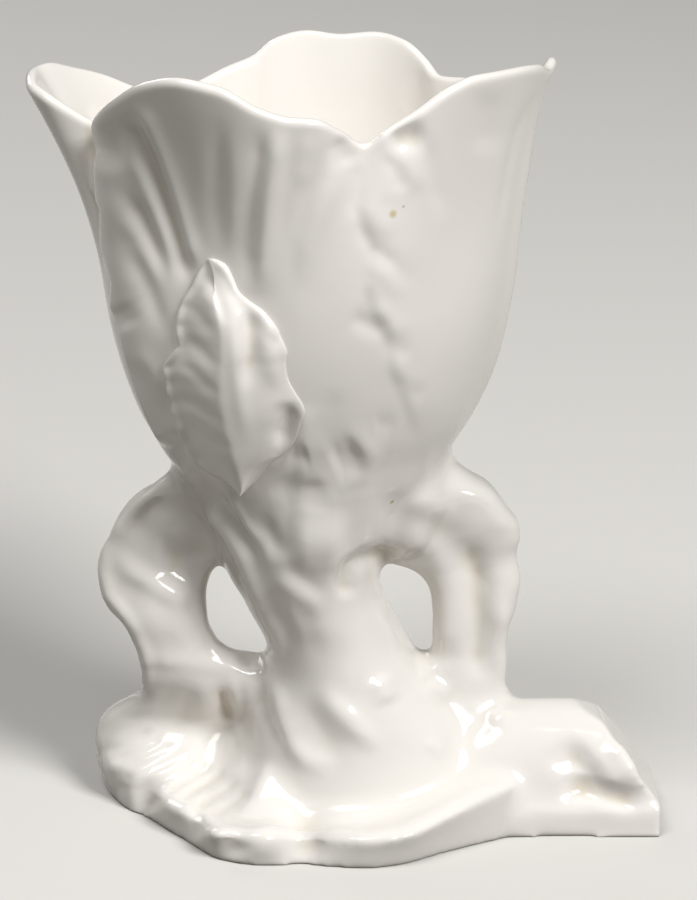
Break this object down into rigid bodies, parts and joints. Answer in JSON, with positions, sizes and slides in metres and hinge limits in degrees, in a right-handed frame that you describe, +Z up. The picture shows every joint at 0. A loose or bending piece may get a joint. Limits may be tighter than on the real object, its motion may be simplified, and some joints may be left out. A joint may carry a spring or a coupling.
{
  "type": "flower vase",
  "caption": "White glazed vase: a petalled flower cup on a leaning trunk, with leaf handles, a leaf base and a sawn branch beside it.",
  "frame": {"origin": "on the resting plane, under the axis of the flower cup", "axes": "+Z up along the cup's axis, +X towards the sawn branch, -Y towards the front with the applied leaf"},
  "size_m": [0.1572, 0.1203, 0.2006],
  "materials": {
    "flower_cup": "glossy warm white glaze",
    "applied_leaf": "glossy warm white glaze",
    "trunk": "glossy warm white glaze",
    "left_handle": "glossy warm white glaze",
    "right_handle": "glossy warm white glaze",
    "leaf_base": "glossy warm white glaze, ground flat underneath",
    "cut_branch": "glossy warm white glaze"
  },
  "bodies": {
    "root": {"flower_cup": "flower_cup", "applied_leaf": "applied_leaf", "trunk": "trunk", "left_handle": "left_handle", "right_handle": "right_handle", "leaf_base": "leaf_base", "cut_branch": "cut_branch"}
  },
  "joints": []
}
